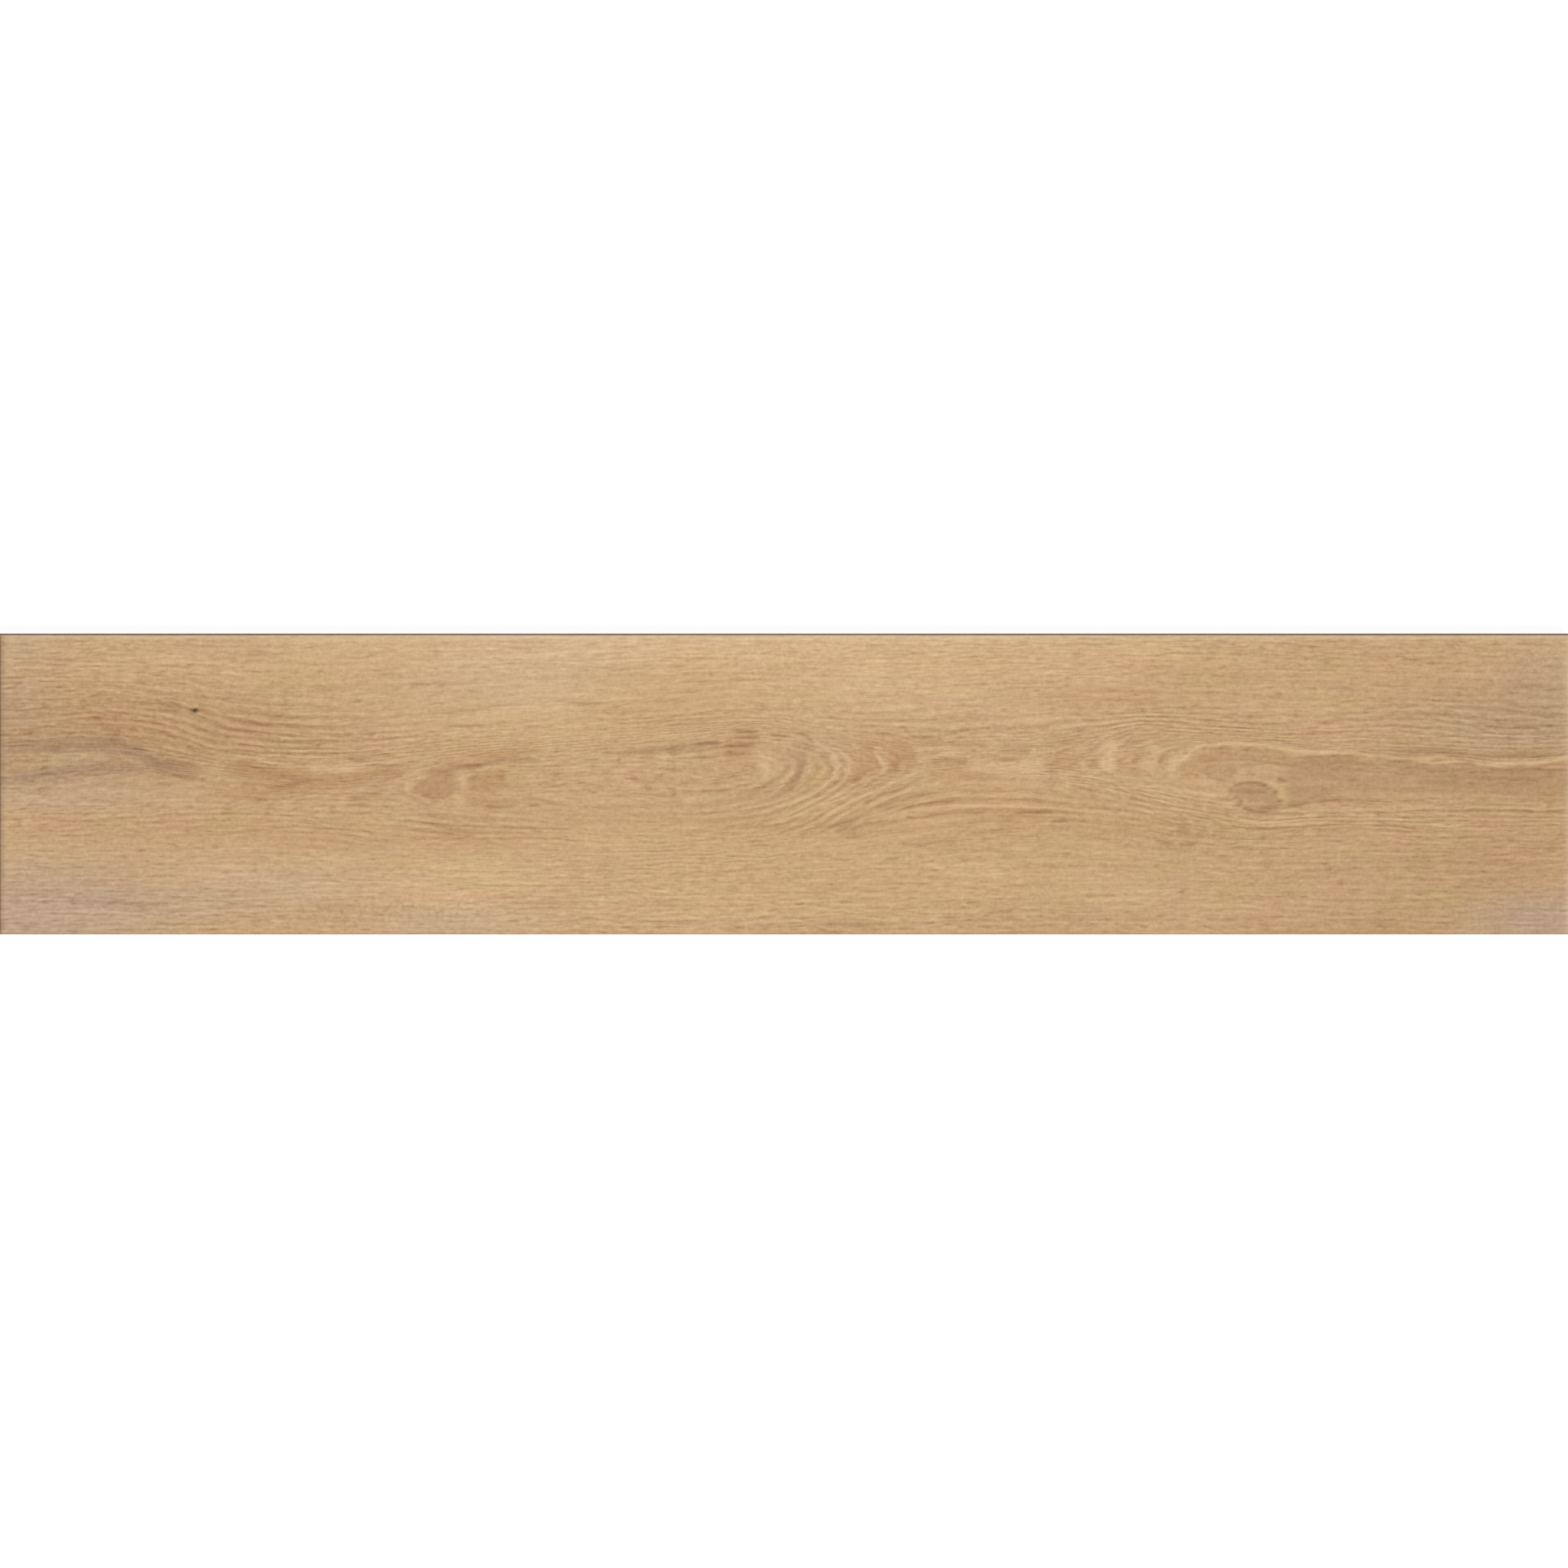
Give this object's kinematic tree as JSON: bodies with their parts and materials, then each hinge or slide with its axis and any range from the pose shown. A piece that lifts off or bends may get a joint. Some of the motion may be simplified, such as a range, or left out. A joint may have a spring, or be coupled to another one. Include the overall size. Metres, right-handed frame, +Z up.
{
  "type": "wood look porcelain plank tile",
  "caption": "Long narrow porcelain floor and wall tile with a wood look face, softly rounded face edges and a ribbed back.",
  "frame": {"origin": "centre of the back, at the height of the rib tops that the tile lies on", "axes": "+X along the plank, +Y across it, +Z up through the tile to the glazed face"},
  "size_m": [1.2, 0.23, 0.01],
  "materials": {
    "glazed_porcelain": "matt glazed, printed with a tan wood figure"
  },
  "bodies": {
    "root": {"plank_tile": "glazed_porcelain"}
  },
  "joints": []
}
